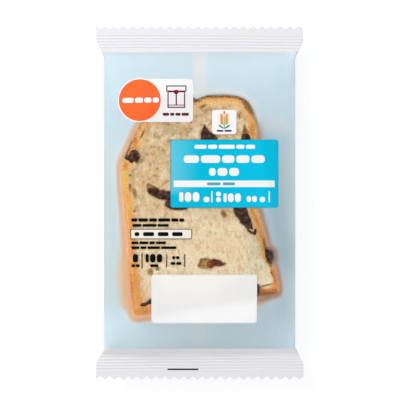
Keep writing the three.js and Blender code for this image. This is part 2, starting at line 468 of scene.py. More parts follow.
CRUST_WIDTH = 7  # of the crust on a cut face, in from the slice's edge
CRUST_ROLL = 2.6  # how far in from the edge a cut face rolls over
CRUST_DROP = 1.3  # and how far it goes down
PORE_SIZE = 3.4
FINE_PORE_SIZE = 1.5
PORE_DEPTH = 0.26
HOLLOW_DEPTH = 1.3
SOCKET_DEPTH = 0.9  # of the dents that hold the raisins
FILM_CLEARANCE = 0.45  # from the film down to the face of the upper slice
UPPER_FACE = TOP_HEIGHT - FILM_CLEARANCE
LOWER_FACE = FIN_THICKNESS + 0.3 + SLICE_THICKNESS
UPPER_BACK = LOWER_FACE + 0.2
LOWER_BACK = LOWER_FACE - SLICE_THICKNESS
UPPER_CELL = 0.9  # of the slices' meshes
LOWER_CELL = 1.5

# What shows in the upper slice's face, by pixel. First the raisins' outlines.
RAISINS = {
    "top_middle": [
        (204.6, 125.2), (206.2, 127.8), (209, 131.5), (212.5, 134), (216, 136.5), (217.5, 140), (215, 145),
        (208, 146), (202.5, 143), (201, 138), (201, 132.5), (203, 129),
    ],
    "right_dome": [
        (241, 140), (241.5, 137), (243.2, 134.8), (245.8, 134), (248.3, 135.6), (250, 139), (249, 146),
        (243, 147),
    ],
    "shoulder_skin": [
        (131.8, 139), (132.8, 141), (131.2, 147), (129.4, 151.6), (127.4, 155.6), (124.6, 158.6),
        (123.4, 157.6), (126.2, 153.4), (128.4, 148), (130, 143),
    ],
    "left_shoulder": [
        (131.6, 151), (135.6, 150.2), (138.6, 152.4), (140.4, 156), (139.8, 160.4), (137.2, 163),
        (134.8, 161.8), (131.8, 164), (128.8, 160.8), (125.8, 159.8), (126.2, 156.4), (129.6, 155),
    ],
    "left_waist": [
        (147.8, 190.4), (149.8, 188.6), (153, 188), (157.6, 188.4), (160.4, 190.4), (163.6, 190.2),
        (168, 191.4), (173, 191.6), (175, 200), (170, 201.4), (166, 200), (161, 199.4), (156.4, 197.6),
        (152, 195.2), (149, 193.2),
    ],
    "left_waist_low": [
        (166.4, 201.4), (171, 201), (180, 202), (188, 205), (188, 208.6), (182, 209.8), (173, 209.4),
        (169, 208), (165.4, 205.4),
    ],
    "right_waist": [
        (232.6, 204), (244, 204), (246.4, 209), (248, 214), (250.2, 218.6), (251.6, 223.6), (252.6, 229),
        (249.6, 228.6), (246.6, 228.4), (243.6, 225.4), (240, 222.6), (238.4, 218.8), (235.4, 215.6),
        (233.6, 211.4),
    ],
    "right_waist_tip": [
        (246.4, 229.2), (249.4, 229.8), (252.8, 231.8), (254.2, 228.6), (256, 229.4), (255.2, 234.6),
        (252, 233.8), (248.4, 231.8),
    ],
    "low_middle": [
        (206.8, 263.4), (208.8, 260.6), (211, 259.6), (213.2, 258.6), (217, 259.2), (220.2, 260),
        (222, 261.6), (225.4, 262.8), (222.8, 265), (218.6, 265.6), (215.6, 265.4), (213, 266.6),
        (210.8, 268), (208.8, 266.4),
    ],
    "right_crust": [
        (266.4, 246.4), (269.6, 247.2), (272.4, 248.4), (274.2, 252), (274.8, 256), (274, 260.4),
        (271.6, 263.4), (268.6, 262.4), (266.2, 259.6), (264.6, 256), (264.2, 251.4), (264.8, 248),
    ],
    "bottom_left": [
        (140.4, 304.2), (142.2, 302.4), (146, 301.4), (149, 299.4), (152, 297.6), (156, 297.6), (156, 302),
        (152, 303), (148.6, 303.8), (145.6, 305.4), (142.6, 305.6),
    ],
    "bottom_right": [(255, 283), (258.2, 284), (259.2, 288), (258.8, 292), (258, 295), (255, 295)],
}
RED_RAISINS = ("low_middle",)  # whose cut flesh shows
# Those at the slice's edge, which hold the film off it.
EDGE_RAISINS = ("right_crust", "left_shoulder", "shoulder_skin")
# Outlines of larger hollows, dented and painted darker as painted shade.
TAN_HOLLOWS = {
    "by_low_raisin": [
        (197, 264.6), (199.4, 262), (199.8, 259), (203, 257.4), (208.6, 257.8), (211, 261), (210, 266),
        (207, 268.4), (202.4, 268.4), (199.2, 267.2),
    ],
    "over_right_raisin": [
        (243.4, 125.6), (246.4, 129.6), (249.4, 134), (247, 137), (242, 137), (242.6, 131),
    ],
    "over_waist_raisin": [
        (148, 183.4), (150.6, 184.2), (156, 187.2), (158, 190), (149, 191), (147.6, 187),
    ],
}
# Hollows in its crumb, as oval spots: the pixel at the middle, the length and width in pixels, the tilt.
# Each is dented, and painted darker as painted shade.
HOLLOWS = {
    "top_slit": (203, 107.5, 9, 3.6, 26),
    "left_tear": (135.3, 193, 4, 12, 12),
    "left_tear_twin": (131, 188, 3, 9, 8),
    "over_figures": (151, 271.5, 6, 8, 0),
    "by_figures": (158, 268, 5, 5, 0),
    "by_waist_raisin": (224, 214, 6, 10, 20),
    "dot_high": (131, 175.5, 2.4, 2.6, 0),
    "dot_low": (135.3, 211, 2.4, 2.6, 0),
    "flap_shadow": (143.4, 134.5, 2, 11, -25),
    "corner_crack": (266.5, 284.5, 12, 1.8, 14),
    "corner_nick": (271.5, 273, 5, 1.5, -60),
    "square_slit": (239, 117, 1.8, 8, 12),
}

# Browned oval spots in its crust, and how brown each is; a few are painted shade instead.
# fold, under_tag and under_label are painted shade in the crumb: in a fold, and below the printed tag and
# label.
SCORCHES = {
    "fold": ((148.5, 129.5, 6, 14, -8), 0.25),
    "under_tag": ((176, 130, 44, 12, 0), 0.2),
    "under_label": ((209, 214, 50, 16, 0), 0.1),
    "by_top_raisin": ((226, 137, 16, 8, 0), 0.14),
    "streak_high": ((200, 116, 18, 4, 12), 0.22),
    "streak_low": ((205, 122, 14, 3, 8), 0.2),
    "waist_tan": ((132.8, 179, 16, 5, 88), 0.28),
    "shoulder_low": ((143.6, 156, 7, 14, -10), 0.35),
    "shoulder_edge": ((134.4, 137, 18, 3, 78), 0.45),
    "dome_streak": ((246.5, 108, 17, 5, -55), 0.8),
    "dome_edge": ((194.5, 99.5, 9, 8, 0), 0.8),
    "dome_rim": ((222, 98, 40, 2.4, 0), 0.4),
    "by_crust_raisin": ((264.2, 245, 15, 3.6, -82), 0.8),
    "under_crust_raisin": ((268.4, 262.6, 9, 3, -50), 0.7),
    "corner_spot": ((273.8, 288.6, 4, 2, 0), 0.8),
    "bottom_right": ((260, 290, 8, 12, 0), 0.75),
    "bottom_rim": ((266, 293.6, 28, 7, 6), 0.75),
    "low_left": ((142, 286, 22, 40, 0), 0.06),
    "left_foot": ((147, 311.5, 14, 4, 14), 0.3),
}
# Rusty ones, likewise.
RUSTS = {
    "shoulder_streak": ((136, 141, 13, 4.2, 84), 0.95),
    "shoulder_top": ((138.5, 129.4, 9, 2.8, 12), 0.8),
    "shoulder_low": ((130.5, 151.5, 9, 4, 60), 0.5),
    "waist_glow": ((126.4, 166.5, 6, 9, 0), 0.8),
    "left_mid": ((135, 247, 30, 3, 92), 0.4),
    "left_low": ((131.4, 289, 44, 7, 93), 0.8),
    "bottom_left": ((142, 309.5, 26, 6, 12), 0.65),
    "right_by_label": ((255.5, 219, 26, 5, -62), 0.55),
    "right_high": ((262.4, 238, 16, 4.5, -66), 0.75),
    "right_side": ((273.4, 277, 24, 6, -77), 0.95),
    "right_bottom": ((268, 292, 28, 9, 5), 0.95),
    "dome_right": ((252.4, 131, 18, 4.5, 88), 0.6),
}
# Paler patches in its crumb, as oval spots.
PALE_LUMPS = {
    "flap": (138.5, 134.5, 6, 11, -25),
    "by_top_raisin": (194.5, 134, 10, 13, 60),
    "by_square": (239, 109, 9, 8, 30),
    "by_square_low": (247.5, 124, 4, 12, 10),
    "by_tag": (160, 131, 10, 7, 20),
    "by_label": (164, 176, 12, 9, 0),
    "low_edge": (262, 280, 9, 6, -10),
}


def ellipse_distance(x, y, spot, grow=0.0):
    """0 at a spot's middle and 1 at its edge, for each (x, y)."""
    px, py, length, width, tilt = spot
    cx, cy = at_pixel(px, py)
    turn = math.radians(tilt)
    along = (x - cx) * math.cos(turn) + (y - cy) * math.sin(turn)
    across = (y - cy) * math.cos(turn) - (x - cx) * math.sin(turn)
    half_long = length * MM_PER_PIXEL / 2 + grow
    half_wide = width * MM_PER_PIXEL / 2 + grow
    return np.hypot(along / half_long, across / half_wide)


def pixel_outline(points):
    """A closed outline through pixels, anticlockwise in millimetres."""
    outline = spline([at_pixel(*point) for point in [*points, points[0]]], 4)[:-1]
    x, y = outline.T
    area = np.sum(x * np.roll(y, -1) - y * np.roll(x, -1))
    return outline if area > 0 else outline[::-1]


def beyond_pixels(points, x, y):
    """How far each (x, y) is outside an outline through pixels."""
    return signed_distance(pixel_outline(points), x, y)


def even_mesh(bm, cell):
    """The bmesh's solid again, as a mesh of even cells."""
    mesh = bpy.data.meshes.new("block")
    bm.to_mesh(mesh)
    bm.free()
    block = bpy.data.objects.new("block", mesh)
    bpy.context.collection.objects.link(block)
    remesh = block.modifiers.new("cells", "REMESH")
    remesh.mode = "VOXEL"
    remesh.voxel_size = cell
    even = bpy.data.meshes.new_from_object(block.evaluated_get(bpy.context.evaluated_depsgraph_get()))
    bpy.data.objects.remove(block)
    bpy.data.meshes.remove(mesh)
    result = bmesh.new()
    result.from_mesh(even)
    bpy.data.meshes.remove(even)
    return result


def slice_block(outline, low, high):
    """A plain slice: its outline, as thick as the slice."""
    bm = bmesh.new()
    base = bm.faces.new([bm.verts.new((x, y, low)) for x, y in outline])
    grown = bmesh.ops.extrude_face_region(bm, geom=[base])
    top = [v for v in grown["geom"] if isinstance(v, bmesh.types.BMVert)]
    bmesh.ops.translate(bm, verts=top, vec=(0, 0, high - low))
    bmesh.ops.recalc_face_normals(bm, faces=bm.faces)
    return bm


def refine_face(bm, above):
    """Halves the cells of the face that lies above a height."""
    edges = [e for e in bm.edges if e.verts[0].co.z > above and e.verts[1].co.z > above]
    bmesh.ops.subdivide_edges(bm, edges=edges, cuts=1, use_grid_fill=True)


def crumb_cells(x, y, seed, size):
    """How far the crumb's cells are open, 0 to 1: walls between them stay up, and few cells are deep."""
    bend_x, bend_y = ripples(x, y, seed + 2, 14), ripples(x, y, seed + 4, 14)
    opened = []
    for px, py, bx, by in zip(x, y, bend_x, bend_y):
        place = Vector(((px + 3 * bx) / size, (py + 3 * by) / size / 1.25, seed))
        distances, points = noise.voronoi(place)
        share = abs(math.sin(points[0].x * 91.7 + points[0].y * 47.3 + points[0].z * 13.1))
        wall = min(max((distances[1] - distances[0]) / 0.45, 0), 1)
        opened.append(share**3 * wall)
    return np.array(opened)


def build_slice(name, outline, place, low, high, cell, seed, material, marked):
    """One slice: crumb on its cut faces and crust round its edge."""
    wobble = ripples(*outline.T, seed, 11) * 0.5 + ripples(*outline.T, seed + 7, 4) * 0.4
    middle = outline.mean(axis=0)
    outward = (outline - middle) / np.linalg.norm(outline - middle, axis=1)[:, None]
    outline = outline + outward * wobble[:, None]
    bm = even_mesh(slice_block(outline, low, high), cell)
    if marked:
        refine_face(bm, high - 0.4 * cell)
    x, y, z = places(bm)
    inside = -signed_distance(outline, x, y)
    up = z > (low + high) / 2
    from_face = np.where(up, high - z, z - low)
    from_place = np.stack([x - place["x"], y - place["y"]], axis=1)
    across, along = placed(from_place, {"x": 0, "y": 0, "turn": -place["turn"]}).T

    # Open crumb on the cut faces, which roll over into the crust at the slice's edge.
    face = smoothstep(from_face, 0.9, 0.1)
    crumb = smoothstep(inside, CRUST_WIDTH - 3, CRUST_WIDTH + 1)
    open_here = smoothstep(ripples(x, y, seed + 21, 15), -0.35, 0.35)
    pores = (0.35 + 0.65 * open_here) * crumb_cells(x, y, seed + 0.5, PORE_SIZE)
    pores = np.maximum(pores, 0.4 * crumb_cells(x, y, seed + 20.5, FINE_PORE_SIZE))
    grit = ripples(x, y, seed + 31, 1.2) + 0.6 * ripples(x, y, seed + 33, 0.6)
    dip = crumb * (PORE_DEPTH * pores + 0.12 * ripples(x, y, seed + 17, 12))
    dip += (0.09 - 0.05 * crumb) * grit
    roll = np.clip(1 - inside / CRUST_ROLL, 0, 1)
    hollow, raised, scorched, rusty, stain = np.zeros((5, len(x)))
    down = face * (dip + CRUST_DROP * roll**2)
    if marked:
        here = face * up

        def spotted(spot, seed_shift, size, outer, inner, ragged=0.25):
            waver = ragged * ripples(x, y, seed + seed_shift, size)
            return smoothstep(ellipse_distance(x, y, spot) + waver, outer, inner)

        for spot in HOLLOWS.values():
            hollow = np.maximum(hollow, here * spotted(spot, 41, 2.2, 1.3, 0.35))
        for spot in PALE_LUMPS.values():
            raised = np.maximum(raised, 0.45 * here * spotted(spot, 47, 3, 1.5, 0.1, 0.6))
        for spot, strength in SCORCHES.values():
            scorched = np.maximum(scorched, up * strength * spotted(spot, 71, 1.8, 1.3, 0.5, 0.4))
        for spot, strength in RUSTS.values():
            rusty = np.maximum(rusty, up * strength * spotted(spot, 73, 1.4, 1.4, 0.4, 0.5))
        torn = 0.35 * ripples(x, y, seed + 43, 2.2) + 0.3 * ripples(x, y, seed + 44, 0.9)
        for outline_pixels in TAN_HOLLOWS.values():
            beyond = beyond_pixels(outline_pixels, x, y) + torn
            hollow = np.maximum(hollow, here * smoothstep(beyond, 0.4, -0.5))
        down += HOLLOW_DEPTH * hollow
        beyond_raisin = torn + np.min([beyond_pixels(points, x, y) for points in RAISINS.values()], axis=0)
        down += SOCKET_DEPTH * up * smoothstep(beyond_raisin, 0.1, -0.4)
        # The crumb is darker in a ring round each raisin.
        stain = up * smoothstep(beyond_raisin, 1.5, 0)
    z = z - np.where(up, down, -down)
    skin = 0.3 * ripples(x + z, y - z, seed + 51, 3.4) + 0.15 * ripples(x - z, y + z, seed + 61, 1.3)
    skin *= 1 - face
    away = np.stack([x - middle[0], y - middle[1]])
    away /= np.hypot(*away)
    move(bm, x + away[0] * skin, y + away[1] * skin, z)
    thin = smoothstep(across, 15, 35) * smoothstep(along, 30, 18) * smoothstep(along, 4, 10)
    wide = smoothstep(across, -18, -34) * smoothstep(along, 45, 25)
    paint(
        bm,
        inside=inside * face * (1 + 0.6 * thin - 0.25 * wide),
        pore=pores,
        hollow=hollow,
        raised=raised,
        scorched=scorched,
        rusty=rusty,
        stain=stain,
        top_crust=smoothstep(along, 112, 138),
    )
    return add_piece(bm, name, [material])


RAISIN_CELL = 0.4  # of the raisins' mesh
RAISIN_DEPTH = 0.4  # how far they are let into the bread's face
RAISIN_LOW = -2.4
RAISIN_HIGH = 0.6
WRINKLE_DEPTH = 0.6


def build_raisins(material):
    """The raisins, cut by the slicing: wrinkled and ragged, their tops nearly flush with the bread."""
    blocks = [slice_block(pixel_outline(points), RAISIN_LOW, RAISIN_HIGH) for points in RAISINS.values()]
    bm = even_mesh(join(blocks), RAISIN_CELL)
    for _ in range(4):
        bmesh.ops.smooth_vert(
            bm, verts=bm.verts, factor=0.5, use_axis_x=True, use_axis_y=True, use_axis_z=True
        )
    bm.normal_update()
    x, y, z = places(bm)
    out_x, out_y, _ = np.array([v.normal for v in bm.verts]).T
    ragged = 0.5 * ripples(x, y, 91, 2.2) + 0.35 * ripples(x, y, 92, 0.9) + 0.2
    x, y = x + out_x * ragged, y + out_y * ragged
    wrinkles = np.abs(ripples(x, y, 93, 1.6)) + 0.5 * np.abs(ripples(x, y, 94, 0.8))
    z -= np.where(z > 0, WRINKLE_DEPTH * wrinkles, 0)
    move(bm, x, y, z + UPPER_FACE - RAISIN_DEPTH)
    beyond = {name: beyond_pixels(points, x, y) for name, points in RAISINS.items()}
    red = np.min([beyond[name] for name in RED_RAISINS], axis=0) < 1
    to_edge = np.min(list(beyond.values()), axis=0) + 0.5 * ripples(x, y, 95, 1.5)
    paint(bm, red_flesh=0.9 * red, rim=smoothstep(to_edge, -1.1, 0.1))
    return add_piece(bm, "raisins", [material])


# ---------------------------------------------------------------------------------------------------------
# Print on the film's front

INK_HEIGHT = 0.06  # of a field of ink over the film
MARK_HEIGHT = 0.1  # of marks that lie on a field


def drape_on_film(bm, film_front, lift):
    """Lays a flat bmesh on the film's front, lift above it."""
    for vert in bm.verts:
        touch, *_ = film_front.ray_cast(Vector((vert.co.x, vert.co.y, 2 * TOP_HEIGHT)), Vector((0, 0, -1)))
        vert.co.z = touch.z + lift


def panel(left, top, right, bottom, radius, cell=0.8):
    """A flat rounded rectangle between pixels, as a mesh fine enough to follow the film."""
    x0, y0 = at_pixel(left, bottom)
    x1, y1 = at_pixel(right, top)
    r = min(radius * MM_PER_PIXEL, (x1 - x0) / 2, (y1 - y0) / 2)
    bm = bmesh.new()
    columns = max(2, round((x1 - x0) / min(cell, max(r / 2, 0.4))))
    rows = max(2, round((y1 - y0) / min(cell, max(r / 2, 0.4))))
    bmesh.ops.create_grid(bm, x_segments=columns, y_segments=rows, size=1)
    u, v, z = places(bm)
    x, y = (u + 1) / 2 * (x1 - x0) + x0, (v + 1) / 2 * (y1 - y0) + y0
    corner_x, corner_y = np.clip(x, x0 + r, x1 - r), np.clip(y, y0 + r, y1 - r)
    reach = np.hypot(x - corner_x, y - corner_y)
    share = np.where(reach > r, r / np.maximum(reach, 1e-9), 1)
    move(bm, corner_x + (x - corner_x) * share, corner_y + (y - corner_y) * share, z)
    return bm


def oval(px, py, length, width, tilt=0, rings=4):
    """A flat ellipse round a pixel, its length turned by tilt degrees."""
    bm = bmesh.new()
    bmesh.ops.create_grid(bm, x_segments=2 * rings, y_segments=2 * rings, size=1)
    u, v, z = places(bm)
    along, across = u * np.sqrt(1 - v * v / 2) * length / 2, v * np.sqrt(1 - u * u / 2) * width / 2
    turn, (x, y) = math.radians(tilt), at_pixel(px, py)
    move(
        bm,
        x + MM_PER_PIXEL * (along * math.cos(turn) - across * math.sin(turn)),
        y + MM_PER_PIXEL * (along * math.sin(turn) + across * math.cos(turn)),
        z,
    )
    return bm


def disc(px, py, radius, rings=14):
    return oval(px, py, 2 * radius, 2 * radius, 0, rings)


def ring(left, top, right, bottom, radius, line):
    """A rounded rectangle's outline, as one strip just inside its edge."""
    x0, y0 = at_pixel(left, bottom)
    x1, y1 = at_pixel(right, top)
    r = radius * MM_PER_PIXEL
    points = []
    middles = [(x1 - r, y1 - r), (x0 + r, y1 - r), (x0 + r, y0 + r), (x1 - r, y0 + r)]
    for corner, (cx, cy) in enumerate(middles):
        for step in range(7):
            turn = math.radians(90 * corner + 15 * step)
            points.append((cx + r * math.cos(turn), cy + r * math.sin(turn)))
    bm = bmesh.new()
    field = bm.faces.new([bm.verts.new((x, y, 0)) for x, y in points])
    bm.normal_update()
    width = line * MM_PER_PIXEL
    bmesh.ops.inset_region(bm, faces=[field], thickness=width, use_boundary=True, use_even_offset=True)
    bmesh.ops.delete(bm, geom=[field], context="FACES_ONLY")
    long = [e for e in bm.edges if e.calc_length() > 4]
    bmesh.ops.subdivide_edges(bm, edges=long, cuts=40, use_grid_fill=True)
    return bm


def bars(*rows):
    """Plain bars, as rows of type look from afar. A row is (left, top, bottom, widths of its bars, gap)."""
    made = []
    for left, top, bottom, widths, gap in rows:
        for width in widths:
            made.append(panel(left, top, left + width, bottom, (bottom - top) / 2.6))
            left += width + gap
    return made


def frame_lines(left, top, right, bottom, line):
    """The outline of a rectangle, as four strips."""
    return [
        panel(left, top, right, top + line, 0),
        panel(left, bottom - line, right, bottom, 0),
        panel(left, top + line, left + line, bottom - line, 0),
        panel(right - line, top + line, right, bottom - line, 0),
    ]


LABEL_ROWS = [
    (194.5, 145.3, 149.2, [12, 9, 16, 8, 9], 1.5),
    (184, 155.8, 163.2, [15, 19, 12, 13, 13], 2),
    (209, 168.3, 176, [6.5, 9.5, 9.5], 2),
    (179.5, 192.2, 201.8, [4, 6.5, 6.5], 1.4),
    (203.6, 196.8, 202.2, [5.6], 0),
    (211.2, 191.2, 202.4, [1.2], 0),
    (216, 191.8, 196.2, [4.6], 0),
    (216, 197.2, 202, [4.6], 0),
    (223.4, 193.4, 202, [3, 5.6, 5.8], 1.3),
    (246.2, 196, 202, [4.4, 4.6], 1.1),
    (259.2, 196.8, 202, [5.2], 0),
    (268, 191.2, 202.4, [1.2], 0),
]
FACTS_ROWS = [
    (132, 218.2, 221.4, [6, 9.5, 8, 12, 7, 5], 1),
    (133, 223.8, 226.4, [9, 14, 11], 1),
    (135.2, 231.8, 235.8, [4.8, 11, 10.6, 10.4], 3.6),
    (132, 241.1, 243.7, [7, 9, 5.6, 10], 0.9),
    (132, 245.9, 248.5, [8, 6, 12.4, 15], 1),
    (133.4, 253.4, 261.8, [5.2], 0),
    (146.2, 253.4, 261.8, [3, 5.4, 5.4], 1.3),
    (132.4, 263.6, 266.4, [3.4, 3.6], 0.8),
    (150.6, 263.6, 266.4, [8.2], 0),
    (172.4, 255.6, 258.6, [3, 3.4], 0.8),
    (171, 261.4, 264.2, [4.6, 5], 0.8),
    (166.6, 253.6, 266.6, [0.9], 0),
    (184.4, 253.6, 266.6, [0.9], 0),
]


def build_print(film_front, inks):
    """The front's printed fields and marks. Plain bars stand in for every line of type."""

    def add(name, ink, lift, parts):
        bm = join(parts)
        drape_on_film(bm, film_front, lift)
        add_piece(bm, name, [inks[ink]])

    add("tag_field", "tag", INK_HEIGHT * 0.6, [panel(136, 79.7, 193.3, 122.9, 4)])
    add("tag_rim", "white", INK_HEIGHT * 0.8, [disc(140.2, 100.8, 22)])
    add("tag_disc", "orange", INK_HEIGHT * 1.3, [disc(140.2, 100.8, 21)])
    add("tag_type", "white", MARK_HEIGHT * 1.3, bars((123, 98.5, 103.5, [11, 8, 7, 6], 1.4)))
    lid = frame_lines(166.5, 86.4, 186.6, 92.6, 1.1) + frame_lines(167.8, 92.2, 185.3, 108.8, 1.1)
    lid += [panel(175.9, 95, 177.1, 106.4, 0), panel(168.3, 105.6, 185, 106.4, 0)]
    add("tag_icon", "maroon", MARK_HEIGHT, lid)
    add("tag_dot", "red", MARK_HEIGHT * 1.4, [disc(176.4, 93, 2.3, 4)])
    add("tag_caption", "maroon", MARK_HEIGHT, bars((163, 113.7, 116.5, [6.4, 4.2, 5.2, 7.2], 1)))

    add("maker_square", "white", INK_HEIGHT, [panel(211.9, 110.6, 236.1, 134.8, 3)])
    grains = [oval(224, 113.8, 4.2, 2.2, 90)]
    for row in range(4):
        y = 116.4 + 2.5 * row
        grains += [oval(224 + side * 2.5, y, 4.4, 2.1, 90 - side * 42) for side in (-1, 1)]
    add("wheat_grains", "grain", MARK_HEIGHT, grains)
    stem = [panel(223.6, 117, 224.4, 129.6, 0)]
    stem += [oval(224 + side * 3.2, 127.4, 6.4, 1.6, 90 - side * 55) for side in (-1, 1)]
    add("wheat_stem", "leaf", MARK_HEIGHT, stem)
    add("maker_line", "navy", MARK_HEIGHT, bars((216.6, 130.6, 132.4, [6.6, 7.2], 1)))

    add("label_field", "label", INK_HEIGHT, [panel(170.8, 140.2, 277.8, 207.6, 2.5)])
    add("label_edge", "label_edge", INK_HEIGHT * 1.2, [ring(170.8, 140.2, 277.6, 207.6, 2.5, 0.6)])
    add("label_type", "white", MARK_HEIGHT, [panel(174, 180.7, 274, 187.2, 0.4), *bars(*LABEL_ROWS)])
    add("label_caption", "teal", MARK_HEIGHT * 1.5, bars((207, 182.6, 185.4, [13.4, 12], 2.2)))

    add("facts_box", "box", INK_HEIGHT, [panel(131.8, 229.2, 191.5, 238.2, 0)])
    lines = frame_lines(131.3, 228.7, 192, 238.7, 0.6) + [panel(142.1, 252.4, 143, 268, 0)]
    add("facts_type", "black", MARK_HEIGHT, bars(*FACTS_ROWS) + lines)

    add("date_rim", "white", INK_HEIGHT, [ring(151.9, 273.9, 256.5, 322.4, 3, 1)])
    window = panel(152.8, 274.8, 255.6, 321.5, 2.4)
    x, y, _ = places(window)
    # Painted light: the window is whitened where the film slopes down past the bread's edge.
    paint(window, sloping=smoothstep(signed_distance(upper_hull, x, y), -2, 5))
    add("date_field", "date", INK_HEIGHT, [window])
    add("eye_mark_field", "white", INK_HEIGHT, [panel(166.6, 368.2, 199.4, 371.1, 0.3)])
    add("eye_mark", "black", MARK_HEIGHT, [panel(167.4, 368.9, 198.4, 370.4, 0)])


# ---------------------------------------------------------------------------------------------------------
# Materials

STUDIO_LIGHT = 1.15  # how brightly a level white surface shows in the studio
FILM_PASSES = 0.8  # share of the light on what touches the film that comes back out through it
WHITE = (1, 1, 1, 1)
GREY = (0.5, 0.5, 0.5, 1)


def srgb(red, green, blue):
    """The colour of a surface that the studio's light shows as these values, 0 to 255."""
    channels = [c / 255 for c in (red, green, blue)]
    linear = [c / 12.92 if c <= 0.04045 else ((c + 0.055) / 1.055) ** 2.4 for c in channels]
    return (*[c / STUDIO_LIGHT for c in linear], 1)


def under_film(red, green, blue):
    """The colour of what touches the front film, which shows through it as these values."""
    return (*[min(c / FILM_PASSES, 1) for c in srgb(red, green, blue)[:3]], 1)


def stops(*rows):
    """A run of colours as they show through the film. Each row is its place and three values, 0 to 255."""
    return [(place, under_film(*colour)) for place, *colour in rows]


class Look:
    """A Principled material in the making. Its methods add nodes and return their outputs."""

    def __init__(self, name, **sockets):
        self.material = bpy.data.materials.new(name)
        self.material.use_nodes = True
        self.tree = self.material.node_tree
        self.shader = self.tree.nodes["Principled BSDF"]
        for socket, value in sockets.items():
            self.put(self.shader.inputs[socket.replace("_", " ").title().replace("Ior", "IOR")], value)

    def put(self, socket, value):
        """Gives a socket a constant or another node's output."""
        if isinstance(value, bpy.types.NodeSocket):
            self.tree.links.new(value, socket)
        else:
            socket.default_value = value

    def feed(self, socket, value):
        """Leads an output to one of the shader's sockets."""
        self.put(self.shader.inputs[socket], value)

    def node(self, kind, inputs=(), **settings):
        made = self.tree.nodes.new(kind)
        for key, value in settings.items():
            setattr(made, key, value)
        for key, value in dict(inputs).items():
            self.put(made.inputs[key], value)
        return made

    def attribute(self, name):
        return self.node("ShaderNodeAttribute", attribute_name=name).outputs["Fac"]

    def place(self):
        return self.node("ShaderNodeTexCoord").outputs["Object"]

    def axes(self):
        return self.node("ShaderNodeSeparateXYZ", {"Vector": self.place()}).outputs

    def blotches(self, size, detail=2.0, roughness=0.5, offset=0.0, stretch=1.0, turn=0.0):
        """Soft random values, whose blotches are size millimetres across and longer by stretch along Y."""
        turned = (0, 0, math.radians(turn))
        moved = {"Location": (offset, offset, 0), "Rotation": turned, "Scale": (1, 1 / stretch, 1)}
        where = self.node("ShaderNodeMapping", {"Vector": self.place(), **moved}).outputs[0]
        inputs = {"Vector": where, "Scale": 1 / (size * MM), "Detail": detail, "Roughness": roughness}
        return self.node("ShaderNodeTexNoise", inputs).outputs["Fac"]

    def remap(self, value, low, high, to_low=0.0, to_high=1.0):
        inputs = {"Value": value, "From Min": low, "From Max": high, "To Min": to_low, "To Max": to_high}
        return self.node("ShaderNodeMapRange", inputs, interpolation_type="SMOOTHSTEP").outputs["Result"]

    def work_out(self, operation, first, second):
        return self.node("ShaderNodeMath", {0: first, 1: second}, operation=operation).outputs[0]

    def plus(self, first, second):
        return self.work_out("ADD", first, second)

    def times(self, first, second):
        return self.work_out("MULTIPLY", first, second)

    def mix(self, share, first, second):
        inputs = {"Factor": share, 6: first, 7: second}
        return self.node("ShaderNodeMix", inputs, data_type="RGBA").outputs[2]

    def layered(self, colour, *layers):
        """A colour with others laid over it in turn, each by its share."""
        for share, over in layers:
            colour = self.mix(share, colour, over)
        return colour

    def ramp(self, value, colours):
        made = self.node("ShaderNodeValToRGB", {"Fac": value})
        elements = made.color_ramp.elements
        while len(elements) < len(colours):
            elements.new(0.5)
        for element, (place, colour) in zip(elements, colours):
            element.position = place
            element.color = colour
        return made.outputs["Color"]

    def bump(self, height, depth_mm):
        made = self.node("ShaderNodeBump", {"Height": height, "Distance": depth_mm * MM, "Strength": 1.0})
        self.feed("Normal", made.outputs["Normal"])


CRUST_FADE = 10  # how far in, in millimetres, the crust's colours reach
LOWER_CRUMB = under_film(255, 229, 195)
UPPER_CRUMB = under_film(222, 195, 152)
PALE_CRUMB = under_film(255, 231, 202)
TAN = under_film(230, 192, 146)
UPPER_TAN = under_film(170, 134, 90)
CELL = under_film(218, 182, 128)
# Crust colours along a slice's sides, from the edge inwards; the lighter outer stops are partly the crust's
# colour and partly a painted highlight on its rounded edge.
SIDE_CRUST = stops(
    (0.0, 244, 184, 124),
    (0.22, 252, 184, 98),
    (0.44, 242, 158, 70),
    (0.64, 232, 160, 84),
    (0.82, 240, 192, 130),
)
TOP_CRUST = stops(
    (0.0, 168, 104, 60),
    (0.07, 128, 58, 14),
    (0.14, 150, 80, 30),
    (0.23, 232, 168, 98),
    (0.5, 244, 200, 140),
)
CRUST_YELLOW = under_film(255, 200, 108)
CRUST_PALE = under_film(255, 218, 148)
CRUST_BROWN = under_film(176, 98, 44)
RUST = under_film(208, 104, 38)
# Painted shade in the crumb's hollows.
HOLLOW_TAN = under_film(192, 154, 100)
HOLLOW_DARK = under_film(140, 100, 56)
SCORCH = under_film(98, 50, 30)
STAIN = under_film(150, 108, 66)
RAISIN_SKIN = stops((0.3, 24, 10, 8), (0.5, 62, 38, 30), (0.72, 112, 76, 56))
RAISIN_RIM = under_film(122, 70, 30)
RED_FLESH_DARK = under_film(88, 36, 16)
RED_FLESH = under_film(156, 86, 42)
CLEAR_FROST = 0.1  # roughness of the film where it touches the bread
DEEP_FROST = 0.95  # and over a gap
GAP_TINT = (0.775, 0.925, 1.0, 1)
SHADE_TINT = (0.6, 0.85, 1.0, 1)
# Tints of the crust's painted glow in the film; the second, for the right side, is darker partly as painted
# shade.
GLOW_TINT = (1.0, 0.57, 0.3, 1)
BROWN_GLOW_TINT = (0.82, 0.49, 0.35, 1)
FIN_TINT = (0.94, 0.96, 0.97, 1)
SEAL_COLOUR = srgb(251, 250, 254)
BARE_FILM = srgb(250, 250, 252)
BACK_BLUE = srgb(206, 238, 252)
BACK_BLUE_LIGHT = srgb(212, 241, 253)


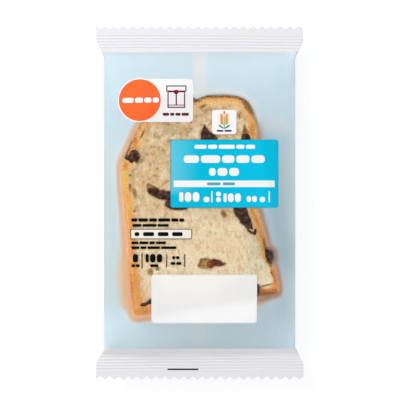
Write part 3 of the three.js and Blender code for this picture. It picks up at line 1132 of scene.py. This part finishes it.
def bread_material():
    """Cream crumb with tan cells, turning through gold to a brown crust at the slice's edge."""
    look = Look("bread", roughness=0.85, specular_ior_level=0.1)
    broad = look.blotches(26)
    clouds = look.blotches(9, 3, 0.55, 0.3)
    mottle = look.blotches(4.5, 3, 0.6, 0.5)
    strands = look.blotches(2.1, 2, 0.6, 0.9, 2.4, 24)
    grain = look.blotches(0.9, 3, 0.6, 0.7)
    flecks = look.blotches(0.7, 2, 0.5, 0.2)
    height = look.axes()["Y"]
    upper = look.remap(look.plus(height, look.times(broad, 0.05)), -0.012, 0.05)
    cloudy = look.times(look.remap(clouds, 0.45, 0.68), look.plus(0.35, look.times(upper, 0.6)))
    crumb = look.layered(
        look.mix(upper, LOWER_CRUMB, UPPER_CRUMB),
        (cloudy, TAN),
        (look.remap(clouds, 0.42, 0.28, 0, 0.7), PALE_CRUMB),
        (look.times(look.remap(mottle, 0.5, 0.66, 0, 0.85), upper), UPPER_TAN),
        (look.times(look.remap(mottle, 0.44, 0.3, 0, 0.75), upper), PALE_CRUMB),
        (look.remap(strands, 0.5, 0.7, 0, 0.6), CELL),
        (look.remap(strands, 0.44, 0.28, 0, 0.6), PALE_CRUMB),
        (look.remap(grain, 0.54, 0.66, 0, 0.75), CELL),
        # The crumb's open cells take the cells' tan, partly their own colour and partly painted shade in
        # them.
        (look.remap(look.attribute("pore"), 0.15, 0.8, 0, 0.55), CELL),
        (look.attribute("raised"), PALE_CRUMB),
        (look.times(look.attribute("stain"), 0.6), STAIN),
    )

    top_crust = look.attribute("top_crust")
    uneven = look.plus(look.remap(mottle, 0.2, 0.8, -1.2, 1.2), look.remap(grain, 0.25, 0.75, -1.6, 1.6))
    uneven = look.times(uneven, look.remap(top_crust, 0, 1, 1, 0.3))
    edge = look.times(look.plus(look.attribute("inside"), uneven), 1 / CRUST_FADE)
    waist = look.times(look.remap(height, -0.02, 0.015), look.remap(broad, 0.4, 0.55))
    side = look.mix(look.times(waist, 0.8), look.ramp(edge, SIDE_CRUST), CRUST_YELLOW)
    toasted = look.layered(
        look.mix(top_crust, side, look.ramp(edge, TOP_CRUST)),
        (look.times(look.attribute("rusty"), look.remap(flecks, 0.36, 0.56, 0.55, 1)), RUST),
        (look.remap(flecks, 0.52, 0.64, 0, 0.75), CRUST_PALE),
        (look.remap(flecks, 0.46, 0.34, 0, 0.7), CRUST_BROWN),
    )
    colour = look.layered(
        crumb,
        (look.remap(edge, 0.45, 0.95, 1, 0), toasted),
        # The hollows are painted darker: painted shade in the dents.
        (look.attribute("hollow"), look.mix(look.remap(mottle, 0.35, 0.65), HOLLOW_DARK, HOLLOW_TAN)),
        # Browned spots in the crust, and a few spots of painted shade in the crumb.
        (look.times(look.attribute("scorched"), look.remap(grain, 0.3, 0.6, 1, 0.75)), SCORCH),
    )
    look.feed("Base Color", colour)
    look.bump(grain, 0.5)
    return look.material


def raisin_material():
    """Wrinkled skin, nearly black, and red-brown flesh where the knife has cut or the skin is thin."""
    look = Look("raisin_skin", roughness=0.4, specular_ior_level=0.15)
    blotch = look.blotches(3, 3, 0.6)
    red = look.mix(look.remap(blotch, 0.35, 0.65), RED_FLESH_DARK, RED_FLESH)
    colour = look.layered(
        look.ramp(blotch, RAISIN_SKIN),
        (look.attribute("red_flesh"), red),
        (look.times(look.attribute("rim"), 0.6), RAISIN_RIM),
    )
    look.feed("Base Color", colour)
    look.bump(look.blotches(1.1, 4, 0.65), 0.5)
    return look.material


def front_film_material():
    """Frosted film: what touches it shows clear, and what lies behind a gap blurs and pales."""
    look = Look("frosted_film", ior=1.16)
    sealed = look.attribute("sealed")
    tint = look.layered(
        WHITE,
        (look.attribute("cool"), GAP_TINT),
        (look.times(look.attribute("shaded"), 0.5), SHADE_TINT),
        (look.attribute("crust_glow"), look.mix(look.attribute("browner"), GLOW_TINT, BROWN_GLOW_TINT)),
        (look.attribute("fin_glow"), FIN_TINT),
        (sealed, SEAL_COLOUR),
    )
    look.feed("Base Color", tint)
    haze = look.work_out("MAXIMUM", look.attribute("veil"), look.times(sealed, 0.85))
    look.feed("Transmission Weight", look.work_out("SUBTRACT", 1.0, haze))
    look.feed("Roughness", look.remap(look.attribute("frost"), 0, 1, CLEAR_FROST, DEEP_FROST))
    return look.material


def back_film_material():
    """The back of the tube: pale blue ink, bare along the fin and at both ends."""
    look = Look("printed_film", roughness=0.5)
    blue = look.mix(look.blotches(40, 1), BACK_BLUE, BACK_BLUE_LIGHT)
    look.feed("Base Color", look.mix(look.attribute("inked"), BARE_FILM, blue))
    return look.material


def ink_look(name, **sockets):
    return Look(name, roughness=0.7, specular_ior_level=0.05, **sockets)


def plain_ink(name, colour):
    look = ink_look(name)
    darker = (*[0.96 * c for c in colour[:3]], 1)
    look.feed("Base Color", look.mix(look.blotches(30, 1), darker, colour))
    return look.material


def label_material():
    """Cyan, paler towards the label's left end as a painted highlight."""
    look = ink_look("cyan_ink")
    place = look.axes()
    # A painted highlight pales the label's left end.
    pale = look.times(look.remap(place["X"], 0.001, -0.022), look.remap(place["Y"], 0.004, 0.01))
    cyan = look.mix(look.remap(place["X"], 0, 0.05), srgb(0, 190, 224), srgb(0, 197, 234))
    look.feed("Base Color", look.mix(pale, cyan, srgb(96, 204, 228)))
    return look.material


def date_material():
    """A nearly opaque white, warm along its top and cooler below, and whiter as painted light where the film
    slopes past the bread.
    """
    look = ink_look("date_ink", alpha=0.95)
    warm = look.remap(look.axes()["Y"], -0.072, -0.054)
    smudge = look.remap(look.blotches(30, 1, 0.5, 0.4), 0.4, 0.7, 0, 0.6)
    colour = look.layered(
        look.mix(warm, srgb(248, 248, 248), srgb(255, 252, 246)),
        (smudge, srgb(240, 240, 240)),
        # Painted light on the slope.
        (look.attribute("sloping"), WHITE),
    )
    look.feed("Base Color", colour)
    return look.material


INKS = {
    "white": (252, 250, 251),
    "orange": (252, 106, 52),
    "label_edge": (24, 160, 190),
    # The tag's white is a little darker than the white ink: painted shade that offsets how its film faces the
    # light.
    "tag": (242, 241, 243),
    "teal": (90, 170, 185),
    "maroon": (100, 42, 48),
    "red": (150, 10, 20),
    "black": (14, 12, 12),
    "box": (248, 240, 232),
    "grain": (240, 158, 44),
    "leaf": (20, 140, 76),
    "navy": (50, 50, 80),
}


def ink_materials():
    plain = {name: plain_ink(f"{name}_ink", srgb(*colour)) for name, colour in INKS.items()}
    return {**plain, "label": label_material(), "date": date_material()}


# ---------------------------------------------------------------------------------------------------------
# Studio, in metres

CAMERA_DISTANCE = 1.6
SENSOR_WIDTH = 36
FLOOR_SIZE = 3
FLOOR_HEIGHT = -0.0005
FLOOR_GLOW = 0.55
SKY_STRENGTH = 0.85
KEY_SIZE = 0.6
KEY_POWER = 10
KEY_PLACE = (-0.81, 0.81, 0.8)


def studio():
    """A pale floor, soft light from the upper left and a camera straight above the bag."""
    scene = bpy.context.scene
    scene.view_settings.view_transform = "Standard"

    bm = bmesh.new()
    bmesh.ops.create_grid(bm, x_segments=1, y_segments=1, size=FLOOR_SIZE)
    mesh = bpy.data.meshes.new("floor")
    bm.to_mesh(mesh)
    bm.free()
    floor = bpy.data.objects.new("floor", mesh)
    bpy.context.collection.objects.link(floor)
    glow = {"emission_color": WHITE, "emission_strength": FLOOR_GLOW}
    paper = Look("floor_paper", base_color=GREY, roughness=0.9, **glow)
    mesh.materials.append(paper.material)
    floor.location.z = FLOOR_HEIGHT

    world = bpy.data.worlds.new("studio")
    scene.world = world
    world.use_nodes = True
    sky = world.node_tree.nodes["Background"].inputs
    sky["Color"].default_value = WHITE
    sky["Strength"].default_value = SKY_STRENGTH

    key = bpy.data.objects.new("key_light", bpy.data.lights.new("key_light", "AREA"))
    bpy.context.collection.objects.link(key)
    key.data.size = KEY_SIZE
    key.data.energy = KEY_POWER
    key.location = KEY_PLACE
    key.rotation_euler = (-Vector(key.location)).to_track_quat("-Z", "Y").to_euler()

    camera = bpy.data.objects.new("camera", bpy.data.cameras.new("camera"))
    bpy.context.collection.objects.link(camera)
    x, y = at_pixel(PHOTO_WIDTH / 2, PHOTO_WIDTH / 2)
    camera.data.sensor_width = SENSOR_WIDTH
    camera.data.lens = SENSOR_WIDTH * CAMERA_DISTANCE / (PHOTO_WIDTH * MM_PER_PIXEL * MM)
    camera.location = (x * MM, y * MM, CAMERA_DISTANCE + TOP_HEIGHT / 2 * MM)
    scene.camera = camera


back_film = back_film_material()
film_front = build_film(front_film_material(), back_film)
build_fin(back_film)
build_creases(film_front, Look("creased_film", base_color=srgb(250, 251, 253), roughness=0.4).material)
bread = bread_material()
build_slice("upper_slice", upper_outline, UPPER_SLICE, UPPER_BACK, UPPER_FACE, UPPER_CELL, 1, bread, True)
build_slice("lower_slice", lower_outline, LOWER_SLICE, LOWER_BACK, LOWER_FACE, LOWER_CELL, 2, bread, False)
build_raisins(raisin_material())
build_print(film_front, ink_materials())
studio()
